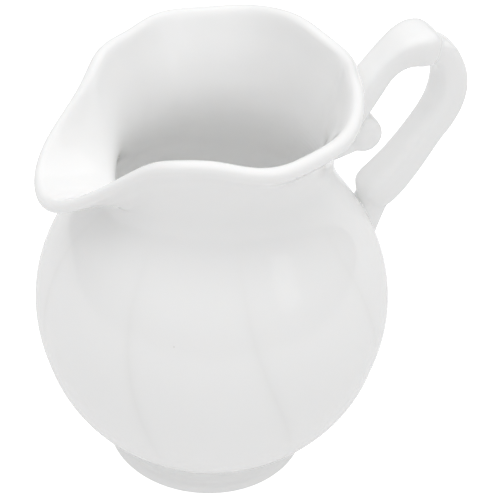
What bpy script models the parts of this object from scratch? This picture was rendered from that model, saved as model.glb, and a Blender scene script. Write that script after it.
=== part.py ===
"""Porcelain milk jug: round belly on a foot ring, wavy pouring rim, scroll handle. One solid, metres, +Z up."""
import math

import bpy
import numpy as np

# Belly and foot
BELLY_RADIUS = 0.046
BELLY_CENTRE_Z = 0.046
WALL = 0.0032
FOOT_RADIUS = 0.0269
FOOT_WAIST_RADIUS = 0.0257
FOOT_JOIN_RADIUS = 0.0268
FOOT_JOIN_Z = BELLY_CENTRE_Z - math.sqrt(BELLY_RADIUS ** 2 - FOOT_JOIN_RADIUS ** 2)
FOOT_RING_WIDTH = 0.0032
FOOT_EDGE_ROUND = 0.0006
FOOT_RECESS = 0.0034
FOOT_RECESS_SLOPE = 0.0016
FOOT_BAND_Z = 0.0026
FOOT_BAND_TAPER = 0.0003
FOOT_COVE = ((0.0001, 0.0042), (0.0, 0.0058), (0.0004, 0.0074))  # (radius over the waist, height)
FLOOR_TOP_Z = 0.0070
FLOOR_CORNER = 0.0045

# Neck and rim: mean values, then cosine waves round the axis (0 = handle, pi = spout)
SHOULDER_ANGLE = math.radians(55.0)
NECK_PULL = 0.38
THROAT_RADIUS = 0.0283
THROAT_BASE_Z = 0.0575
THROAT_SHARE = 0.30  # share of the rim's height that the throat follows
RIM_RADIUS_WAVES = (
    0.0350, -0.0030, 0.0003, -0.0029, 0.0019, -0.0006, 0.0005, 0.0, 0.0004, 0.0, -0.0003, 0.0003,
)
RIM_HEIGHT_WAVES = (0.1071, 0.0083, -0.0041, 0.0033, -0.0026, 0.0007, -0.0006)
FLARE_POWER = 1.75
BEAD_RADIUS = 0.00188

# Soft panels of the belly
PANELS = 8
PANEL_DEPTH = 0.00025
PANEL_SWEEP = 0.5
PANEL_TOP_Z = 0.0848

# Handle, in the plane y = 0; each line point is (x, z, share of the band's thickness)
HANDLE_WIDTH = 0.0104
ARM_HALF_THICKNESS = 0.0037
STRAP_HALF_THICKNESS = 0.0040
ROOT_WIDTH = 0.0092
ROOT_HALF_THICKNESS = 0.0034
STEM_HALF_THICKNESS = 0.0029
VOLUTE_CENTRE = (0.0388, 0.0911)
VOLUTE_RADIUS = 0.0040
VOLUTE_WIDTH = 0.0090
VOLUTE_ROUND = 0.0011
VOLUTE_SIDES = 24
VOLUTE_BEVEL_SEGMENTS = 2
ARM_LINE = (
    (0.0260, 0.0868, 1.00), (0.0290, 0.0894, 1.00), (0.0316, 0.0930, 1.00), (0.0342, 0.0973, 0.98),
    (0.0367, 0.1014, 0.96), (0.0391, 0.1050, 0.92), (0.0416, 0.1085, 0.88), (0.0449, 0.1116, 0.96),
    (0.0482, 0.1133, 1.14), (0.0512, 0.1138, 1.26), (0.0540, 0.1136, 1.18), (0.0562, 0.1134, 0.92),
    (0.0577, 0.1132, 0.40),
)
STRAP_LINE = (
    (0.0500, 0.1110, 0.50), (0.0545, 0.1122, 0.80), (0.0580, 0.1108, 0.84), (0.0602, 0.1076, 0.88),
    (0.0615, 0.1038, 0.96), (0.0618, 0.1000, 1.00), (0.0611, 0.0958, 1.00), (0.0593, 0.0917, 0.98),
    (0.0567, 0.0877, 0.96), (0.0535, 0.0827, 1.00), (0.0502, 0.0781, 1.05), (0.0468, 0.0742, 1.10),
    (0.0435, 0.0713, 1.06), (0.0410, 0.0697, 0.84), (0.0398, 0.0691, 0.50),
)
ROOT_LINE = (
    (0.0478, 0.0762, 0.90), (0.0458, 0.0728, 1.00), (0.0437, 0.0685, 1.00), (0.0417, 0.0632, 1.06),
    (0.0398, 0.0572, 1.16),
)
STEM_LINE = ((0.0255, 0.0888, 1.10), (0.0300, 0.0896, 1.04), (0.0345, 0.0904, 1.00), (0.0380, 0.0910, 0.90))

# Fineness
STEPS = 64
NECK_ROWS = 7
SHOULDER_ROWS = 3
BEAD_ROWS = 5
BELLY_ROWS = 11
TUBE_RESOLUTION = 3
MERGE_DISTANCE = 0.00001
CORE_FLOOR_Z = 0.02
CORE_TOP_Z = 0.125
CORE_FIRST_ROW = 3
SMOOTH_ANGLE = math.radians(40.0)


def wave(amounts, angle):
    """Sum of cosine waves round the axis."""
    return sum(amount * math.cos(count * angle) for count, amount in enumerate(amounts))


def panel_offset(angle, height):
    """Shallow inward set of the belly panels, fading to nothing at the foot and the throat."""
    share = (height - FOOT_JOIN_Z) / (PANEL_TOP_Z - FOOT_JOIN_Z)
    share = min(max(share, 0.0), 1.0)
    fade = math.sin(math.pi * share) ** 2
    twist = PANEL_SWEEP * math.sin(math.pi * (share - 0.5)) * math.sin(angle)
    return -PANEL_DEPTH * fade * (0.5 - 0.5 * math.cos(PANELS * (angle - twist)))


def outer_line(angle):
    """Outer side of belly and neck as (radius, height), from the foot join up to the rim."""
    start = math.pi - math.asin(FOOT_JOIN_RADIUS / BELLY_RADIUS)
    line = []
    for row in range(BELLY_ROWS):
        polar = start + (SHOULDER_ANGLE - start) * row / (BELLY_ROWS - 1)
        height = BELLY_CENTRE_Z + BELLY_RADIUS * math.cos(polar)
        line.append((BELLY_RADIUS * math.sin(polar) + panel_offset(angle, height), height))
    bead_radius = wave(RIM_RADIUS_WAVES, angle)
    bead_z = wave(RIM_HEIGHT_WAVES, angle)
    throat_z = THROAT_BASE_Z + THROAT_SHARE * bead_z
    low = np.array(line[-1])
    high = np.array([THROAT_RADIUS, throat_z])
    pull = NECK_PULL * (high[1] - low[1])
    low_pull = low + pull * np.array([-math.cos(SHOULDER_ANGLE), math.sin(SHOULDER_ANGLE)])
    high_pull = high - np.array([0.0, pull])
    for row in range(1, SHOULDER_ROWS + 1):
        t = row / (SHOULDER_ROWS + 1)
        s = 1 - t
        line.append(s ** 3 * low + 3 * t * s ** 2 * low_pull + 3 * t ** 2 * s * high_pull + t ** 3 * high)
    lean = math.atan2((bead_radius - THROAT_RADIUS) * FLARE_POWER, bead_z - throat_z)
    rim_radius = bead_radius + WALL / 2 * math.cos(lean)
    rim_z = bead_z - WALL / 2 * math.sin(lean)
    for row in range(NECK_ROWS + 1):
        share = row / NECK_ROWS
        radius = THROAT_RADIUS + (rim_radius - THROAT_RADIUS) * share ** FLARE_POWER
        line.append((radius, throat_z + (rim_z - throat_z) * share))
    return np.array(line)


def side_normals(line):
    """Unit normals of a (radius, height) line that point away from the axis."""
    along = np.gradient(line, axis=0)
    along /= np.linalg.norm(along, axis=1)[:, None]
    return np.stack([along[:, 1], -along[:, 0]], axis=1)


def wall_section(angle):
    """Closed wall section at one angle: foot, outer side, rim bead, inner side, floor."""
    outer = outer_line(angle)
    normals = side_normals(outer)
    inner = outer - normals * WALL
    tip_normal = normals[-1]
    tip_along = np.array([-tip_normal[1], tip_normal[0]])
    bead_centre = outer[-1] - tip_normal * WALL / 2
    reach = math.asin(WALL / 2 / BEAD_RADIUS)
    bead = []
    for row in range(BEAD_ROWS + 1):
        turn = -reach + (math.pi + 2 * reach) * row / BEAD_ROWS
        bead.append(bead_centre + BEAD_RADIUS * (tip_normal * math.cos(turn) + tip_along * math.sin(turn)))
    ring_inner = FOOT_RADIUS - FOOT_RING_WIDTH
    foot = [
        (0.0, FOOT_RECESS),
        (ring_inner - FOOT_RECESS_SLOPE, FOOT_RECESS),
        (ring_inner - FOOT_EDGE_ROUND, FOOT_EDGE_ROUND),
        (ring_inner, 0.0),
        (FOOT_RADIUS - FOOT_EDGE_ROUND, 0.0),
        (FOOT_RADIUS, FOOT_EDGE_ROUND),
        (FOOT_RADIUS - FOOT_BAND_TAPER, FOOT_BAND_Z),
    ]
    foot += [(FOOT_WAIST_RADIUS + over, height) for over, height in FOOT_COVE]
    kept = inner[1:-1][::-1]
    floor = [(kept[-1][0] - FLOOR_CORNER, FLOOR_TOP_Z), (0.0, FLOOR_TOP_Z)]
    return np.array(foot + list(outer[:-1]) + bead + list(kept) + floor)


def link_mesh(name, mesh, collection):
    """New object from a mesh in the given collection."""
    body = bpy.data.objects.new(name, mesh)
    collection.objects.link(body)
    return body


def apply_modifiers(body):
    """Replace the object's mesh by its evaluated form."""
    graph = bpy.context.evaluated_depsgraph_get()
    mesh = bpy.data.meshes.new_from_object(body.evaluated_get(graph))
    body.modifiers.clear()
    body.data = mesh
    return body


def spin_section(name, section_of, collection):
    """Turn the section about the axis, then set every point to the section of its own angle."""
    section = section_of(math.pi / 2)
    mesh = bpy.data.meshes.new(name)
    mesh.from_pydata([(r, 0.0, z) for r, z in section], [(i, i + 1) for i in range(len(section) - 1)], [])
    body = link_mesh(name, mesh, collection)
    screw = body.modifiers.new("Turn", "SCREW")
    screw.steps = STEPS
    screw.render_steps = STEPS
    screw.use_merge_vertices = True
    screw.merge_threshold = MERGE_DISTANCE
    screw.use_normal_calculate = True
    apply_modifiers(body)
    shaped = {}
    for vertex in body.data.vertices:
        x, y, z = vertex.co
        radius = math.hypot(x, y)
        row = int(np.argmin((section[:, 0] - radius) ** 2 + (section[:, 1] - z) ** 2))
        if radius < MERGE_DISTANCE:
            continue
        angle = round(math.atan2(y, x) * STEPS / (2 * math.pi)) * 2 * math.pi / STEPS
        if angle not in shaped:
            shaped[angle] = section_of(angle)
        new_radius, new_z = shaped[angle][row]
        vertex.co = (new_radius * math.cos(angle), new_radius * math.sin(angle), new_z)
    return body


def core_section(angle):
    """Middle of the wall closed over the mouth: trims what reaches through the wall."""
    outer = outer_line(angle)
    middle = outer - side_normals(outer) * WALL / 2
    kept = [tuple(point) for point in middle[CORE_FIRST_ROW:]]
    return np.array([(0.0, CORE_FLOOR_Z)] + kept + [(middle[-1][0], CORE_TOP_Z), (0.0, CORE_TOP_Z)])


def tube(name, line, half_thickness, width, collection):
    """Rounded band along a line in the plane y = 0; the third value scales its thickness."""
    curve = bpy.data.curves.new(name, "CURVE")
    curve.dimensions = "3D"
    curve.bevel_depth = half_thickness
    curve.bevel_resolution = TUBE_RESOLUTION
    curve.use_fill_caps = True
    spline = curve.splines.new("POLY")
    spline.points.add(len(line) - 1)
    for point, (x, z, scale) in zip(spline.points, line):
        point.co = (x, 0.0, z, 1.0)
        point.radius = scale
    source = link_mesh(name + "_line", curve, collection)
    graph = bpy.context.evaluated_depsgraph_get()
    mesh = bpy.data.meshes.new_from_object(source.evaluated_get(graph))
    bpy.data.objects.remove(source)
    body = link_mesh(name, mesh, collection)
    for vertex in mesh.vertices:
        vertex.co.y *= width / 2 / half_thickness
    weld = body.modifiers.new("Weld", "WELD")
    weld.merge_threshold = MERGE_DISTANCE
    return apply_modifiers(body)


def volute(collection):
    """Small curl under the upper arm."""
    bpy.ops.mesh.primitive_cylinder_add(vertices=VOLUTE_SIDES, radius=VOLUTE_RADIUS, depth=VOLUTE_WIDTH)
    body = bpy.context.object
    body.name = "volute"
    for owner in list(body.users_collection):
        owner.objects.unlink(body)
    collection.objects.link(body)
    for vertex in body.data.vertices:
        x, y, z = vertex.co
        vertex.co = (VOLUTE_CENTRE[0] + x, z, VOLUTE_CENTRE[1] - y)
    bevel = body.modifiers.new("Round", "BEVEL")
    bevel.width = VOLUTE_ROUND
    bevel.segments = VOLUTE_BEVEL_SEGMENTS
    bevel.limit_method = "ANGLE"
    return apply_modifiers(body)


def boolean(body, other, operation):
    """Join or cut one solid with another."""
    step = body.modifiers.new(operation, "BOOLEAN")
    step.operation = operation
    step.solver = "EXACT"
    step.object = other
    apply_modifiers(body)
    return body


def porcelain():
    """White glazed porcelain."""
    material = bpy.data.materials.new("glazed_porcelain")
    material.use_nodes = True
    shader = material.node_tree.nodes["Principled BSDF"]
    shader.inputs["Base Color"].default_value = (0.90, 0.90, 0.89, 1.0)
    shader.inputs["Roughness"].default_value = 0.12
    shader.inputs["Metallic"].default_value = 0.0
    return material


def main():
    for old in list(bpy.data.objects):
        bpy.data.objects.remove(old)
    parts = bpy.data.collections.new("milk_jug")
    cutters = bpy.data.collections.new("cutters")
    bpy.context.scene.collection.children.link(parts)
    bpy.context.scene.collection.children.link(cutters)

    jug = spin_section("jug", wall_section, parts)
    handle = tube("upper_arm", ARM_LINE, ARM_HALF_THICKNESS, HANDLE_WIDTH, cutters)
    strap = tube("strap", STRAP_LINE, STRAP_HALF_THICKNESS, HANDLE_WIDTH, cutters)
    root = tube("root", ROOT_LINE, ROOT_HALF_THICKNESS, ROOT_WIDTH, cutters)
    stem = tube("stem", STEM_LINE, STEM_HALF_THICKNESS, VOLUTE_WIDTH, cutters)
    curl = volute(cutters)
    core = spin_section("core", core_section, cutters)
    for piece in (strap, root, stem, curl):
        boolean(handle, piece, "UNION")
    boolean(handle, core, "DIFFERENCE")
    boolean(jug, handle, "UNION")

    bounds = np.array([vertex.co for vertex in jug.data.vertices])
    middle = (bounds.min(axis=0) + bounds.max(axis=0)) / 2
    for vertex in jug.data.vertices:
        vertex.co.x -= middle[0]
        vertex.co.y -= middle[1]
    jug.data.materials.clear()
    jug.data.materials.append(porcelain())
    for polygon in jug.data.polygons:
        polygon.use_smooth = True
    jug.data.set_sharp_from_angle(angle=SMOOTH_ANGLE)
    for cutter in cutters.objects:
        cutter.hide_render = True
        cutter.display_type = "WIRE"


main()
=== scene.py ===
"""Small white porcelain milk jug in a bright white studio. Metres, +Z up, handle towards +X, lip towards -X."""
import math

import bmesh
import bpy
import numpy as np
from mathutils import Matrix, Vector


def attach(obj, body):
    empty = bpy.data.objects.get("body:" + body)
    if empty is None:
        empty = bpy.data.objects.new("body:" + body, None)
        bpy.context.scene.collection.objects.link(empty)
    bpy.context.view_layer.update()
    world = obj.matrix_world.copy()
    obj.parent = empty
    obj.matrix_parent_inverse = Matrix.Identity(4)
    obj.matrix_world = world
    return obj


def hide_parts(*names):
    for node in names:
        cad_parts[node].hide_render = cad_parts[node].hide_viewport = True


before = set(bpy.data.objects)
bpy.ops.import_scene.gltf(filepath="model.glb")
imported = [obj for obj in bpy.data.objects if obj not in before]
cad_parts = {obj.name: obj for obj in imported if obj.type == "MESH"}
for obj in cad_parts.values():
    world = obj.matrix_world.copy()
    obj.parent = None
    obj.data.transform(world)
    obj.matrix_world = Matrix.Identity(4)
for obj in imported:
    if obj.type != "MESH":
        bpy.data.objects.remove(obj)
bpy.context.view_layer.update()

# Belly of the jug (the whole jug is shaped about the belly's own axis and moved to AXIS_X at the end)
AXIS_X = -0.0098
BELLY_RADIUS = 0.046
BELLY_CENTRE_Z = 0.046
WALL = 0.0032

# Foot, from the hollow underneath out over the ring and up to the belly
FOOT_RADIUS = 0.0269
FOOT_WAIST_RADIUS = 0.0257
FOOT_JOIN_RADIUS = 0.0268
FOOT_JOIN_Z = BELLY_CENTRE_Z - math.sqrt(BELLY_RADIUS ** 2 - FOOT_JOIN_RADIUS ** 2)
FOOT_RING_WIDTH = 0.0032
FOOT_RECESS = 0.0034
HOLLOW_FLAT_RADIUS = 0.010
# each point is (step from the ring's inner radius, height)
RING_INNER_LINE = (
    (-0.0030, FOOT_RECESS - 0.0001), (-0.0016, FOOT_RECESS - 0.0005), (-0.0009, 0.0016), (-0.0005, 0.0006),
    (0.0, 0.0001), (0.0004, 0.0), (0.0014, 0.0),
)
# each point is (step from the foot's radius, height)
RING_OUTER_LINE = ((-0.0008, 0.0), (-0.0003, 0.0001), (-0.00005, 0.0005), (0.0, 0.0009))
# each point is (radius, height)
FOOT_SIDE_LINE = (
    (FOOT_RADIUS, 0.0009), (FOOT_RADIUS - 0.0002, 0.0022), (FOOT_RADIUS - 0.0008, 0.0036),
    (FOOT_WAIST_RADIUS, 0.0055), (FOOT_WAIST_RADIUS + 0.0003, 0.0074),
    (FOOT_JOIN_RADIUS - 0.0002, FOOT_JOIN_Z - 0.0002),
)
TURNING_LINES = (0.0040, 0.0050, 0.0060)
TURNING_LINE_HEIGHT = 0.00009
TURNING_LINE_WIDTH = 0.00022
FOOT_FILL_ROWS = 4
FOOT_FILLS = 12

# Inside floor: steps (inwards, up) from the last point of the inner wall, then the flat
FLOOR_TOP_Z = 0.0070
FLOOR_CORNER = ((-0.0024, -0.0019), (-0.0052, -0.0034))
FLOOR_EDGE_STEP = -0.0085
FLOOR_EDGE_RISE = 0.0001
FLOOR_FLAT_RADIUS = 0.008

# Neck and rim: mean values, then cosine waves round the axis (0 = handle, pi = lip)
SHOULDER_ANGLE = math.radians(55.0)
NECK_PULL = 0.38
THROAT_RADIUS = 0.0283
THROAT_BASE_Z = 0.0575
THROAT_SHARE = 0.30
RIM_RADIUS_WAVES = (0.0350, -0.0030, 0.0003, -0.0029, 0.0019, -0.0006, 0.0005, 0.0, 0.0004, 0.0, -0.0003, 0.0003)
RIM_HEIGHT_WAVES = (0.1071, 0.0083, -0.0041, 0.0033, -0.0026, 0.0007, -0.0006)
FLARE_POWER = 1.75
BEAD_RADIUS = 0.00188
BEAD_BLEND = 0.0060

# Soft panels of the belly, and the faint lines between them, which are painted shade in the glaze colour
PANELS = 8
PANEL_DEPTH = 0.00055
PANEL_SWEEP = 0.2
PANEL_TOP_Z = 0.0848
PANEL_SEAM = 0.008
# painted shade: darker colour laid along the seams between the panels
PAINTED_SEAM_SHADE_COLOUR = (0.935, 0.935, 0.930, 1)
PAINTED_SEAM_SHADE_SHARPNESS = 7.0

# Core that trims the handle inside the wall
CORE_FLOOR_Z = 0.02
CORE_TOP_Z = 0.125
CORE_FIRST_ROW = 8

# Handle bands in the plane y = 0; each line point is (x, z, share of the band's size)
HANDLE_WIDTH = 0.0104
ARM_HALF_THICKNESS = 0.0037
ARM_END_ROUND = 0.0045
STRAP_HALF_THICKNESS = 0.0040
STRAP_START_ROUND = 0.0030
STRAP_END_ROUND = 0.0040
ROOT_WIDTH = 0.0092
ROOT_HALF_THICKNESS = 0.0034
ROOT_START_ROUND = 0.0030
STEM_WIDTH = 0.0086
STEM_HALF_THICKNESS = 0.0019
ARM_LINE = (
    (0.0260, 0.0868, 1.00), (0.0290, 0.0894, 1.00), (0.0316, 0.0930, 1.00), (0.0342, 0.0973, 0.98),
    (0.0367, 0.1014, 0.96), (0.0391, 0.1050, 0.92), (0.0416, 0.1085, 0.88), (0.0449, 0.1116, 0.96),
    (0.0482, 0.1133, 1.14), (0.0512, 0.1138, 1.26), (0.0540, 0.1136, 1.18), (0.0562, 0.1134, 0.92),
    (0.0577, 0.1132, 0.40),
)
STRAP_LINE = (
    (0.0500, 0.1110, 0.50), (0.0545, 0.1122, 0.80), (0.0580, 0.1108, 0.84), (0.0602, 0.1076, 0.88),
    (0.0615, 0.1038, 0.96), (0.0618, 0.1000, 1.00), (0.0611, 0.0958, 1.00), (0.0593, 0.0917, 0.98),
    (0.0567, 0.0877, 0.96), (0.0535, 0.0827, 1.00), (0.0502, 0.0781, 1.05), (0.0468, 0.0742, 1.10),
    (0.0435, 0.0713, 1.06), (0.0410, 0.0697, 0.84), (0.0398, 0.0691, 0.50),
)
ROOT_LINE = (
    (0.0478, 0.0762, 0.90), (0.0458, 0.0728, 1.00), (0.0437, 0.0685, 1.00), (0.0417, 0.0632, 1.06),
    (0.0398, 0.0572, 1.16),
)
STEM_LINE = ((0.0255, 0.0868, 1.30), (0.0300, 0.0874, 1.10), (0.0345, 0.0882, 1.00), (0.0385, 0.0890, 0.90))
BAND_SQUARENESS = 3.8
LEAST_DOME = 0.0025

# Round curl under the arm
VOLUTE_CENTRE = (0.0385, 0.0905)
VOLUTE_RADIUS = 0.0047
VOLUTE_WIDTH = 0.0096
VOLUTE_SIDES = 48
VOLUTE_ROUND = 0.0030
VOLUTE_ROUND_STEPS = 10

# Joint of handle and wall: where the wall's mesh is refined, and (distance from the seam, smoothings)
PATCH_FROM_X = 0.024
PATCH_LOW_Z = 0.054
PATCH_HIGH_Z = 0.112
PATCH_HALF_WIDTHS = (0.0085, 0.0072)
JOINT_FROM_X = 0.022
JOINT_HALF_WIDTH = 0.010
JOINT_SMOOTHINGS = ((0.0020, 5), (0.0012, 8), (0.0006, 6))
HANDLE_SMOOTHINGS = 5
SMOOTH_SHARE = 0.5

# Glaze: cloudy white, nearly mirror smooth, with slow ripples and a few pinholes
GLAZE_COLOURS = ((0.972, 0.973, 0.971, 1), (0.980, 0.980, 0.978, 1))
GLAZE_ROUGHNESS = (0.03, 0.06)
GLAZE_IOR = 1.52
CLOUD_SCALE = 55.0
RIPPLE_SCALE = 85.0
RIPPLE_STRENGTH = 0.22
RIPPLE_DISTANCE = 0.00025
PINHOLE_SCALE = 120.0
PINHOLE_SHARE = 0.93
PINHOLE_EDGE = 0.022
PINHOLE_CORE = 0.008
PINHOLE_COLOUR = (0.66, 0.65, 0.63, 1)
PINHOLE_STRENGTH = 0.6
PINHOLE_DISTANCE = 0.00020
GLOW_SHARE = 0.12
GLOW_RADIUS = (1.0, 0.9, 0.8)
GLOW_SCALE = 0.0015

# Bare biscuit where the ring stands on the table
GLAZED_ABOVE_Z = 0.0004
BARE_BELOW_Z = 0.0001
BISCUIT_COLOURS = ((0.70, 0.69, 0.66, 1), (0.80, 0.79, 0.76, 1))
BISCUIT_ROUGHNESS = 0.62
GRIT_SCALE = 2600.0
GRIT_STRENGTH = 0.5
GRIT_DISTANCE = 0.00005

# Studio: lamps as (name, azimuth from +X, elevation, distance, side, power)
TABLE_REACH = 4.0
TABLE_GAP = 0.00005
TABLE_COLOURS = ((0.44, 0.44, 0.44, 1), (0.46, 0.46, 0.46, 1))
TABLE_ROUGHNESS = 0.9
TABLE_FLECK_SCALE = 30.0
TABLE_WASH = 0.60
TABLE_GLOW = 0.44
WHITE = (1.0, 1.0, 1.0, 1.0)
ROOM_LOW = 0.34
ROOM_HIGH = 0.90
ROOM_START = -0.1
ROOM_END = 0.9
LAMP_AIM_Z = 0.06
LAMPS = (
    ("top_softbox", -122.0, 84.0, 0.95, 1.10, 2.5),
    ("right_softbox", -57.0, 27.0, 1.00, 0.28, 0.15),
)
LIGHT_BOUNCES = 16

# Camera
CAMERA_PLACE = (-0.13268, -0.29740, 0.30653)
CAMERA_AIM = (0.00176, 0.00358, 0.05606)
CAMERA_ROLL = math.radians(3.779)
CAMERA_LENS = 113.638
CAMERA_SENSOR = 36.0
CAMERA_NEAREST = 0.01

# Fineness
TURN_STEPS = 240
BELLY_ROWS = 42
BELLY_ROW_BIAS = 1.45
SHOULDER_ROWS = 13
NECK_ROWS = 21
BEAD_ROWS = 11
FOOT_ROWS = 34
BAND_STATIONS = 90
BAND_SIDES = 36
HANDLE_GRAIN = 0.00043
WELD = 0.000002


def wave(amounts, angle):
    """Sum of cosine waves round the axis."""
    return sum(amount * math.cos(count * angle) for count, amount in enumerate(amounts))


def running_length(points):
    """Length along a line up to each of its points."""
    return np.concatenate([[0.0], np.cumsum(np.linalg.norm(np.diff(points, axis=0), axis=1))])


def side_normals(line):
    """Unit normals of a flat line; on a (radius, height) line that runs upwards they point away from the axis."""
    along = np.gradient(line, axis=0)
    along /= np.linalg.norm(along, axis=1)[:, None]
    return np.stack([along[:, 1], -along[:, 0]], axis=1)


def smooth_line(points, count):
    """Smooth curve through the points, evenly spaced along its length."""
    points = np.array(points, dtype=float)
    spread = running_length(points[:, :2])
    ends = np.vstack([2 * points[0] - points[1], points, 2 * points[-1] - points[-2]])
    gaps = np.concatenate([[spread[1]], np.diff(spread), [spread[-1] - spread[-2]]])
    slopes = np.array([
        ((ends[i + 1] - ends[i]) / gaps[i] * gaps[i + 1] + (ends[i + 2] - ends[i + 1]) / gaps[i + 1] * gaps[i])
        / (gaps[i] + gaps[i + 1])
        for i in range(len(points))
    ])
    line = []
    for along in np.linspace(0.0, spread[-1], count):
        i = min(int(np.searchsorted(spread, along, side="right")) - 1, len(points) - 2)
        gap = spread[i + 1] - spread[i]
        t = (along - spread[i]) / gap
        line.append(
            (2 * t ** 3 - 3 * t ** 2 + 1) * points[i] + (t ** 3 - 2 * t ** 2 + t) * gap * slopes[i]
            + (3 * t ** 2 - 2 * t ** 3) * points[i + 1] + (t ** 3 - t ** 2) * gap * slopes[i + 1]
        )
    return np.array(line)


def panel_offset(angle, height):
    """Shallow inward set of the belly panels, fading to nothing at the foot and the throat."""
    share = (height - FOOT_JOIN_Z) / (PANEL_TOP_Z - FOOT_JOIN_Z)
    share = min(max(share, 0.0), 1.0)
    fade = math.sin(math.pi * share) ** 2
    twist = PANEL_SWEEP * math.sin(math.pi * (share - 0.5)) * math.sin(angle)
    swell = math.sqrt(math.sin(PANELS / 2 * (angle - twist)) ** 2 + PANEL_SEAM)
    return -PANEL_DEPTH * fade * (1.0 - swell)


def outer_line(angle):
    """Outer side of belly, shoulder and flared neck as (radius, height), from the foot join up to the rim."""
    start = math.pi - math.asin(FOOT_JOIN_RADIUS / BELLY_RADIUS)
    line = []
    for row in range(BELLY_ROWS):
        polar = start + (SHOULDER_ANGLE - start) * (row / (BELLY_ROWS - 1)) ** BELLY_ROW_BIAS
        height = BELLY_CENTRE_Z + BELLY_RADIUS * math.cos(polar)
        line.append(np.array([BELLY_RADIUS * math.sin(polar) + panel_offset(angle, height), height]))
    bead_radius = wave(RIM_RADIUS_WAVES, angle)
    bead_z = wave(RIM_HEIGHT_WAVES, angle)
    throat_z = THROAT_BASE_Z + THROAT_SHARE * bead_z
    low = line[-1]
    high = np.array([THROAT_RADIUS, throat_z])
    pull = NECK_PULL * (high[1] - low[1])
    low_pull = low + pull * np.array([-math.cos(SHOULDER_ANGLE), math.sin(SHOULDER_ANGLE)])
    high_pull = high - np.array([0.0, pull])
    for row in range(1, SHOULDER_ROWS):
        t = row / SHOULDER_ROWS
        s = 1 - t
        line.append(s ** 3 * low + 3 * t * s ** 2 * low_pull + 3 * t ** 2 * s * high_pull + t ** 3 * high)
    lean = math.atan2((bead_radius - THROAT_RADIUS) * FLARE_POWER, bead_z - throat_z)
    rim_radius = bead_radius + WALL / 2 * math.cos(lean)
    rim_z = bead_z - WALL / 2 * math.sin(lean)
    for row in range(NECK_ROWS + 1):
        share = row / NECK_ROWS
        radius = THROAT_RADIUS + (rim_radius - THROAT_RADIUS) * share ** FLARE_POWER
        line.append(np.array([radius, throat_z + (rim_z - throat_z) * share]))
    return np.array(line)


def foot_line():
    """Underside and foot ring, from the axis out and up to the belly, with the fine lines left by turning."""
    ring_inner_radius = FOOT_RADIUS - FOOT_RING_WIDTH
    line = [(0.0, FOOT_RECESS), (HOLLOW_FLAT_RADIUS, FOOT_RECESS)]
    line += [(ring_inner_radius + step, height) for step, height in RING_INNER_LINE]
    line += [(FOOT_RADIUS + step, height) for step, height in RING_OUTER_LINE]
    for radius, height in smooth_line(FOOT_SIDE_LINE, FOOT_ROWS)[1:]:
        lift = sum(math.exp(-((height - line_z) / TURNING_LINE_WIDTH) ** 2) for line_z in TURNING_LINES)
        line.append((radius + TURNING_LINE_HEIGHT * lift, height))
    return line


FOOT_LINE = foot_line()


def wall_section(angle):
    """Closed wall section at one angle: foot, outer side, rim bead, inner side, floor."""
    outer = outer_line(angle)
    normals = side_normals(outer)
    middle = outer - normals * WALL / 2
    to_rim = running_length(outer)
    near = np.clip((to_rim - to_rim[-1] + BEAD_BLEND) / BEAD_BLEND, 0.0, 1.0)
    half = WALL / 2 + (BEAD_RADIUS - WALL / 2) * near ** 2 * (3 - 2 * near)
    outer = middle + normals * half[:, None]
    inner = middle - normals * half[:, None]
    tip_normal = normals[-1]
    tip_along = np.array([-tip_normal[1], tip_normal[0]])
    bead = []
    for row in range(BEAD_ROWS + 1):
        turn = math.pi * row / BEAD_ROWS
        bead.append(middle[-1] + BEAD_RADIUS * (tip_normal * math.cos(turn) + tip_along * math.sin(turn)))
    inner_wall = list(inner[1:-1][::-1])
    last_radius, last_z = inner_wall[-1]
    floor = [(last_radius + step, last_z + rise) for step, rise in FLOOR_CORNER]
    floor += [(last_radius + FLOOR_EDGE_STEP, FLOOR_TOP_Z + FLOOR_EDGE_RISE),
              (FLOOR_FLAT_RADIUS, FLOOR_TOP_Z), (0.0, FLOOR_TOP_Z)]
    section = np.array(FOOT_LINE + list(outer[:-1]) + bead + inner_wall + floor)
    # the glaze fills the crease between foot and belly
    join = slice(len(FOOT_LINE) - FOOT_FILL_ROWS, len(FOOT_LINE) + FOOT_FILL_ROWS)
    for _ in range(FOOT_FILLS):
        between = (section[join.start - 1:join.stop - 1] + section[join.start + 1:join.stop + 1]) / 2
        section[join] = (section[join] + between) / 2
    return section


def core_section(angle):
    """Middle of the wall, closed over the mouth: trims what would reach through the wall."""
    outer = outer_line(angle)
    middle = outer - side_normals(outer) * WALL / 2
    side = [tuple(point) for point in middle[CORE_FIRST_ROW:]]
    return np.array([(0.0, CORE_FLOOR_Z)] + side + [(middle[-1][0], CORE_TOP_Z), (0.0, CORE_TOP_Z)])


def new_piece(name, maker):
    """New object whose mesh comes from a bmesh."""
    mesh = bpy.data.meshes.new(name)
    maker.to_mesh(mesh)
    maker.free()
    piece = bpy.data.objects.new(name, mesh)
    bpy.context.scene.collection.objects.link(piece)
    return piece


def opened(piece):
    """The piece's mesh as a bmesh."""
    maker = bmesh.new()
    maker.from_mesh(piece.data)
    return maker


def closed(maker, piece):
    """Put the bmesh back into the piece."""
    maker.to_mesh(piece.data)
    maker.free()


def smooth(maker, points, times):
    """Slacken the given points a few times, as soft clay and glaze do."""
    for _ in range(times):
        bmesh.ops.smooth_vert(maker, verts=points, factor=SMOOTH_SHARE,
                              use_axis_x=True, use_axis_y=True, use_axis_z=True)


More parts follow.
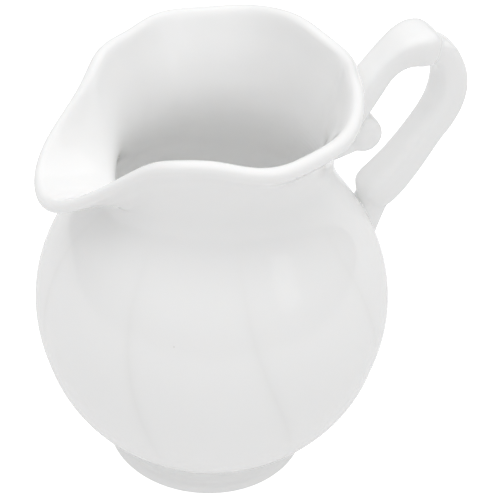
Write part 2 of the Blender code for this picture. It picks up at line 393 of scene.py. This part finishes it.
def turned(name, section_of):
    """Turn a section about the axis, then set every point to the section of its own angle."""
    section = section_of(0.0)
    maker = bmesh.new()
    points = [maker.verts.new((radius, 0.0, height)) for radius, height in section]
    edges = [maker.edges.new(pair) for pair in zip(points[:-1], points[1:])]
    bmesh.ops.spin(maker, geom=points + edges, cent=(0, 0, 0), axis=(0, 0, 1), dvec=(0, 0, 0),
                   angle=math.tau, steps=TURN_STEPS, use_merge=True, use_normal_flip=False, use_duplicate=False)
    bmesh.ops.remove_doubles(maker, verts=maker.verts, dist=WELD)
    shaped = {}
    for vertex in maker.verts:
        x, y, z = vertex.co
        radius = math.hypot(x, y)
        if radius < WELD:
            continue
        row = int(np.argmin((section[:, 0] - radius) ** 2 + (section[:, 1] - z) ** 2))
        step = round(math.atan2(y, x) * TURN_STEPS / math.tau) % TURN_STEPS
        angle = step * math.tau / TURN_STEPS
        if step not in shaped:
            shaped[step] = section_of(angle)
        new_radius, new_z = shaped[step][row]
        vertex.co = (new_radius * math.cos(angle), new_radius * math.sin(angle), new_z)
    bmesh.ops.recalc_face_normals(maker, faces=maker.faces)
    return new_piece(name, maker)


def band(maker, line, half_thickness, width, round_start=0.0, round_end=0.0):
    """Rounded band swept along a line; its ends are domed over the given lengths."""
    path = smooth_line(line, BAND_STATIONS)
    across = side_normals(path[:, :2])
    length = running_length(path[:, :2])
    ring = bmesh.ops.create_circle(maker, cap_ends=False, radius=1.0, segments=BAND_SIDES)["verts"]
    turns = [math.atan2(vertex.co.y, vertex.co.x) for vertex in ring]
    edges = list({edge for vertex in ring for edge in vertex.link_edges})
    first = ring
    for station in range(BAND_STATIONS):
        if station:
            made = bmesh.ops.extrude_edge_only(maker, edges=edges)["geom"]
            fresh = {item for item in made if isinstance(item, bmesh.types.BMVert)} - set(ring)
            ring = [next(e.other_vert(v) for e in v.link_edges if e.other_vert(v) in fresh) for v in ring]
            edges = [item for item in made if isinstance(item, bmesh.types.BMEdge)
                     and item.verts[0] in ring and item.verts[1] in ring]
        size = path[station, 2]
        for reach, gone in ((round_start, length[station]), (round_end, length[-1] - length[station])):
            if gone < reach:
                size *= math.sqrt(max(1.0 - (1.0 - gone / reach) ** 2, LEAST_DOME))
        for vertex, turn in zip(ring, turns):
            c, s = math.cos(turn), math.sin(turn)
            square = (abs(c) ** BAND_SQUARENESS + abs(s) ** BAND_SQUARENESS) ** (-1 / BAND_SQUARENESS)
            out = across[station] * half_thickness * size * c * square
            vertex.co = (path[station, 0] + out[0], width / 2 * size * s * square, path[station, 1] + out[1])
    bmesh.ops.contextual_create(maker, geom=first)
    bmesh.ops.contextual_create(maker, geom=ring)


def run_modifier(piece, kind, **values):
    """Add one modifier and apply it."""
    step = piece.modifiers.new(kind, kind)
    for name, value in values.items():
        setattr(step, name, value)
    graph = bpy.context.evaluated_depsgraph_get()
    mesh = bpy.data.meshes.new_from_object(piece.evaluated_get(graph))
    piece.modifiers.clear()
    piece.data = mesh


def boolean(piece, other, operation):
    """Join or cut one solid with another."""
    run_modifier(piece, "BOOLEAN", operation=operation, solver="MANIFOLD", object=other)
    bpy.data.objects.remove(other)


def volute(maker):
    """Round curl under the arm, a short thick disc with well rounded edges."""
    bmesh.ops.create_cone(maker, cap_ends=True, segments=VOLUTE_SIDES, radius1=VOLUTE_RADIUS,
                          radius2=VOLUTE_RADIUS, depth=VOLUTE_WIDTH)
    rims = [e for e in maker.edges if abs(e.verts[0].co.z - e.verts[1].co.z) < WELD]
    bmesh.ops.bevel(maker, geom=rims, offset=VOLUTE_ROUND, segments=VOLUTE_ROUND_STEPS,
                    profile=0.5, affect="EDGES", material=-1)
    bmesh.ops.rotate(maker, verts=maker.verts, cent=(0, 0, 0), matrix=Matrix.Rotation(math.pi / 2, 3, "X"))
    bmesh.ops.translate(maker, verts=maker.verts, vec=(VOLUTE_CENTRE[0], 0, VOLUTE_CENTRE[1]))


def handle_solid():
    """All bands of the handle and the curl, fused and softened as glaze softens them."""
    maker = bmesh.new()
    volute(maker)
    band(maker, ARM_LINE, ARM_HALF_THICKNESS, HANDLE_WIDTH, round_end=ARM_END_ROUND)
    band(maker, STRAP_LINE, STRAP_HALF_THICKNESS, HANDLE_WIDTH, STRAP_START_ROUND, STRAP_END_ROUND)
    band(maker, ROOT_LINE, ROOT_HALF_THICKNESS, ROOT_WIDTH, round_start=ROOT_START_ROUND)
    band(maker, STEM_LINE, STEM_HALF_THICKNESS, STEM_WIDTH)
    bmesh.ops.recalc_face_normals(maker, faces=maker.faces)
    piece = new_piece("handle", maker)
    run_modifier(piece, "REMESH", mode="VOXEL", voxel_size=HANDLE_GRAIN, adaptivity=0.0)
    maker = opened(piece)
    smooth(maker, maker.verts, HANDLE_SMOOTHINGS)
    closed(maker, piece)
    return piece


def fine_patch(piece):
    """Finer mesh on the wall where the handle grows out of it, so the joint can be rounded."""
    maker = opened(piece)
    for half_width in PATCH_HALF_WIDTHS:
        edges = []
        for edge in maker.edges:
            x, y, z = (edge.verts[0].co + edge.verts[1].co) / 2
            if x > PATCH_FROM_X and abs(y) < half_width and PATCH_LOW_Z < z < PATCH_HIGH_Z:
                edges.append(edge)
        bmesh.ops.subdivide_edges(maker, edges=edges, cuts=1, use_grid_fill=True)
    bmesh.ops.triangulate(maker, faces=[f for f in maker.faces if len(f.verts) > 4])
    closed(maker, piece)


def soften_joint(piece):
    """Round the line where the handle meets the wall, as the slip and glaze fill it."""
    maker = opened(piece)
    bmesh.ops.triangulate(maker, faces=maker.faces)
    joint = [v for v in maker.verts if len({f.material_index for f in v.link_faces}) > 1]
    line = np.array([v.co for v in joint])
    near = {reach: [] for reach, times in JOINT_SMOOTHINGS}
    for vertex in maker.verts:
        x, y, z = vertex.co
        if x < JOINT_FROM_X or abs(y) > JOINT_HALF_WIDTH:
            continue
        gap = float(np.min(np.sum((line - np.array((x, y, z))) ** 2, axis=1))) ** 0.5
        for reach in near:
            if gap < reach:
                near[reach].append(vertex)
    for reach, times in JOINT_SMOOTHINGS:
        smooth(maker, near[reach], times)
    for face in maker.faces:
        face.smooth = True
        face.material_index = 0
    closed(maker, piece)


def porcelain_jug():
    """The whole jug as one skin."""
    jug = turned("porcelain_jug", wall_section)
    fine_patch(jug)
    handle = handle_solid()
    boolean(handle, turned("core", core_section), "DIFFERENCE")
    # the faces of wall and handle are told apart until the seam between them is rounded
    wall_side, grip_side = bpy.data.materials.new("wall_side"), bpy.data.materials.new("grip_side")
    for piece in (jug, handle):
        piece.data.materials.clear()
        piece.data.materials.append(wall_side)
        piece.data.materials.append(grip_side)
    for face in handle.data.polygons:
        face.material_index = 1
    boolean(jug, handle, "UNION")
    soften_joint(jug)
    jug.data.transform(Matrix.Translation((AXIS_X, 0, 0)))
    jug.data.materials.clear()
    return jug


def node(tree, kind, **values):
    """New shader node with the given settings."""
    made = tree.nodes.new(kind)
    for name, value in values.items():
        if name in made.inputs:
            made.inputs[name].default_value = value
        else:
            setattr(made, name, value)
    return made


def feed(tree, socket, value):
    """Give a socket another node's output or a plain value."""
    if isinstance(value, bpy.types.NodeSocket):
        tree.links.new(value, socket)
    else:
        socket.default_value = value


def calculate(tree, operation, *values):
    """Result of a sum on sockets or plain numbers."""
    made = node(tree, "ShaderNodeMath", operation=operation)
    for socket, value in zip(made.inputs, values):
        feed(tree, socket, value)
    return made.outputs[0]


def noise(tree, place, **values):
    """Cloudy pattern fixed to the piece."""
    made = node(tree, "ShaderNodeTexNoise", **values)
    tree.links.new(place, made.inputs["Vector"])
    return made.outputs["Fac"]


def ramp(tree, value, start, end, low=0.0, high=1.0, course="SMOOTHSTEP"):
    """Rise from low to high while the value goes from start to end."""
    made = node(tree, "ShaderNodeMapRange", interpolation_type=course)
    for name, number in (("From Min", start), ("From Max", end), ("To Min", low), ("To Max", high)):
        made.inputs[name].default_value = number
    tree.links.new(value, made.inputs["Value"])
    return made.outputs[0]


def blend_colours(tree, share, first, second):
    """Blend of two colours."""
    made = node(tree, "ShaderNodeMix", data_type="RGBA")
    for place, value in ((0, share), (6, first), (7, second)):
        feed(tree, made.inputs[place], value)
    return made.outputs[2]


def blend_numbers(tree, share, first, second):
    """Blend of two numbers."""
    made = node(tree, "ShaderNodeMix", data_type="FLOAT")
    for place, value in ((0, share), (2, first), (3, second)):
        feed(tree, made.inputs[place], value)
    return made.outputs[0]


def relief(tree, height, strength, distance, under=None, inward=False):
    """Fine relief, laid over another one if that is given."""
    made = node(tree, "ShaderNodeBump", Strength=strength, Distance=distance)
    made.invert = inward
    tree.links.new(height, made.inputs["Height"])
    if under is not None:
        tree.links.new(under, made.inputs["Normal"])
    return made.outputs[0]


def painted_seam_shade(tree, place, x, y, z):
    """Painted shade: soft darker lines where the belly's panels meet, as a share from 0 to 1."""
    angle = calculate(tree, "ARCTAN2", y, calculate(tree, "SUBTRACT", x, AXIS_X))
    share = calculate(tree, "DIVIDE", calculate(tree, "SUBTRACT", z, FOOT_JOIN_Z), PANEL_TOP_Z - FOOT_JOIN_Z)
    share = calculate(tree, "MINIMUM", calculate(tree, "MAXIMUM", share, 0.0), 1.0)
    half_turn = calculate(tree, "MULTIPLY", share, math.pi)
    fade = calculate(tree, "SINE", half_turn)
    twist = calculate(tree, "MULTIPLY", calculate(tree, "COSINE", half_turn), -PANEL_SWEEP)
    twist = calculate(tree, "MULTIPLY", twist, calculate(tree, "SINE", angle))
    panel_turn = calculate(tree, "MULTIPLY", calculate(tree, "SUBTRACT", angle, twist), PANELS / 2)
    swell = calculate(tree, "ABSOLUTE", calculate(tree, "SINE", panel_turn))
    line = calculate(tree, "POWER", calculate(tree, "SUBTRACT", 1.0, swell), PAINTED_SEAM_SHADE_SHARPNESS)
    reach = node(tree, "ShaderNodeVectorMath", operation="DISTANCE")
    feed(tree, reach.inputs[0], place)
    feed(tree, reach.inputs[1], (AXIS_X, 0.0, BELLY_CENTRE_Z))
    on_belly = calculate(tree, "COMPARE", reach.outputs["Value"], BELLY_RADIUS, WALL / 2)
    return calculate(tree, "MULTIPLY", calculate(tree, "MULTIPLY", line, fade), on_belly)


def pinholes(tree, place):
    """A few pinholes in the glaze, as a share from 0 to 1."""
    cells = node(tree, "ShaderNodeTexVoronoi", Scale=PINHOLE_SCALE)
    tree.links.new(place, cells.inputs["Vector"])
    chance = node(tree, "ShaderNodeSeparateColor")
    tree.links.new(cells.outputs["Color"], chance.inputs[0])
    picked = calculate(tree, "GREATER_THAN", chance.outputs[0], PINHOLE_SHARE)
    dot = ramp(tree, cells.outputs["Distance"], PINHOLE_EDGE, PINHOLE_CORE)
    return calculate(tree, "MULTIPLY", picked, dot)


def porcelain_glaze():
    """White porcelain under a clear gloss glaze, dry and unglazed under the foot ring, with painted shade along
    the panel seams.
    """
    material = bpy.data.materials.new("white_porcelain_glaze")
    material.use_nodes = True
    tree = material.node_tree
    shader = tree.nodes["Principled BSDF"]
    place = node(tree, "ShaderNodeTexCoord").outputs["Object"]
    axes = node(tree, "ShaderNodeSeparateXYZ")
    tree.links.new(place, axes.inputs[0])
    x, y, z = (axes.outputs[name] for name in "XYZ")

    cloud = noise(tree, place, Scale=CLOUD_SCALE, Detail=2.0, Roughness=0.45)
    grit = noise(tree, place, Scale=GRIT_SCALE, Detail=3.0)
    bare = ramp(tree, z, GLAZED_ABOVE_Z, BARE_BELOW_Z)
    pin = pinholes(tree, place)

    colour = blend_colours(tree, cloud, *GLAZE_COLOURS)
    # painted shade: darker lines along the seams between the belly's panels
    colour = blend_colours(tree, painted_seam_shade(tree, place, x, y, z), colour, PAINTED_SEAM_SHADE_COLOUR)
    colour = blend_colours(tree, pin, colour, PINHOLE_COLOUR)
    colour = blend_colours(tree, bare, colour, blend_colours(tree, grit, *BISCUIT_COLOURS))
    tree.links.new(colour, shader.inputs["Base Color"])

    gloss = ramp(tree, cloud, 0.0, 1.0, *GLAZE_ROUGHNESS, course="LINEAR")
    tree.links.new(blend_numbers(tree, bare, gloss, BISCUIT_ROUGHNESS), shader.inputs["Roughness"])

    ripple = noise(tree, place, Scale=RIPPLE_SCALE, Detail=1.5, Roughness=0.5)
    surface = relief(tree, ripple, RIPPLE_STRENGTH, RIPPLE_DISTANCE)
    surface = relief(tree, pin, PINHOLE_STRENGTH, PINHOLE_DISTANCE, under=surface, inward=True)
    grain = calculate(tree, "MULTIPLY", grit, bare)
    surface = relief(tree, grain, GRIT_STRENGTH, GRIT_DISTANCE, under=surface)
    tree.links.new(surface, shader.inputs["Normal"])

    shader.inputs["IOR"].default_value = GLAZE_IOR
    shader.inputs["Subsurface Weight"].default_value = GLOW_SHARE
    shader.inputs["Subsurface Radius"].default_value = GLOW_RADIUS
    shader.inputs["Subsurface Scale"].default_value = GLOW_SCALE
    return material


def table_finish():
    """White sweep, so strongly lit that it washes out to the page white of the picture."""
    material = bpy.data.materials.new("white_sweep")
    material.use_nodes = True
    tree = material.node_tree
    shader = tree.nodes["Principled BSDF"]
    place = node(tree, "ShaderNodeTexCoord").outputs["Object"]
    fleck = noise(tree, place, Scale=TABLE_FLECK_SCALE, Detail=2.0)
    tree.links.new(blend_colours(tree, fleck, *TABLE_COLOURS), shader.inputs["Base Color"])
    shader.inputs["Roughness"].default_value = TABLE_ROUGHNESS
    shader.inputs["Specular IOR Level"].default_value = 0.0
    shader.inputs["Emission Color"].default_value = WHITE
    seen = node(tree, "ShaderNodeLightPath").outputs["Is Camera Ray"]
    wash = calculate(tree, "MULTIPLY_ADD", seen, TABLE_WASH, TABLE_GLOW)
    tree.links.new(wash, shader.inputs["Emission Strength"])
    return material


def white_table():
    """Large pale table under the jug."""
    maker = bmesh.new()
    bmesh.ops.create_grid(maker, x_segments=8, y_segments=8, size=TABLE_REACH)
    bmesh.ops.translate(maker, verts=maker.verts, vec=(0, 0, -TABLE_GAP))
    table = new_piece("white_table", maker)
    table.data.materials.append(table_finish())


def pale_room():
    """Room light that grows from the horizon to the ceiling."""
    world = bpy.data.worlds.new("white_room")
    bpy.context.scene.world = world
    world.use_nodes = True
    tree = world.node_tree
    sky = tree.nodes["Background"]
    sky.inputs["Color"].default_value = WHITE
    axes = node(tree, "ShaderNodeSeparateXYZ")
    tree.links.new(node(tree, "ShaderNodeTexCoord").outputs["Generated"], axes.inputs[0])
    lift = ramp(tree, axes.outputs["Z"], ROOM_START, ROOM_END, ROOM_LOW, ROOM_HIGH)
    tree.links.new(lift, sky.inputs["Strength"])


def soft_lamps():
    """Square softboxes that all face the jug."""
    aim = Vector((AXIS_X, 0.0, LAMP_AIM_Z))
    for name, azimuth, elevation, distance, size, power in LAMPS:
        lamp = bpy.data.lights.new(name, "AREA")
        lamp.shape = "SQUARE"
        lamp.size = size
        lamp.energy = power
        holder = bpy.data.objects.new(name, lamp)
        bpy.context.scene.collection.objects.link(holder)
        a, e = math.radians(azimuth), math.radians(elevation)
        way_out = Vector((math.cos(a) * math.cos(e), math.sin(a) * math.cos(e), math.sin(e)))
        holder.location = aim + way_out * distance
        holder.rotation_euler = (-way_out).to_track_quat("-Z", "Y").to_euler()


def studio():
    """White table, pale room and soft lamps, with enough bounces to light the inside of a white jug."""
    white_table()
    pale_room()
    soft_lamps()
    bpy.context.scene.cycles.max_bounces = LIGHT_BOUNCES
    bpy.context.scene.cycles.diffuse_bounces = LIGHT_BOUNCES


def camera():
    """Long lens from above and from the lip's side."""
    lens = bpy.data.cameras.new("camera")
    lens.sensor_width = CAMERA_SENSOR
    lens.lens = CAMERA_LENS
    lens.clip_start = CAMERA_NEAREST
    holder = bpy.data.objects.new("camera", lens)
    bpy.context.scene.collection.objects.link(holder)
    place, aim = Vector(CAMERA_PLACE), Vector(CAMERA_AIM)
    turn = (aim - place).to_track_quat("-Z", "Y").to_matrix() @ Matrix.Rotation(CAMERA_ROLL, 3, "Z")
    holder.location = place
    holder.rotation_euler = turn.to_euler()
    bpy.context.scene.camera = holder


camera()
jug = porcelain_jug()
jug.data.materials.append(porcelain_glaze())
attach(jug, "root")
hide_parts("jug")
studio()
bpy.context.scene.view_settings.view_transform = "Standard"
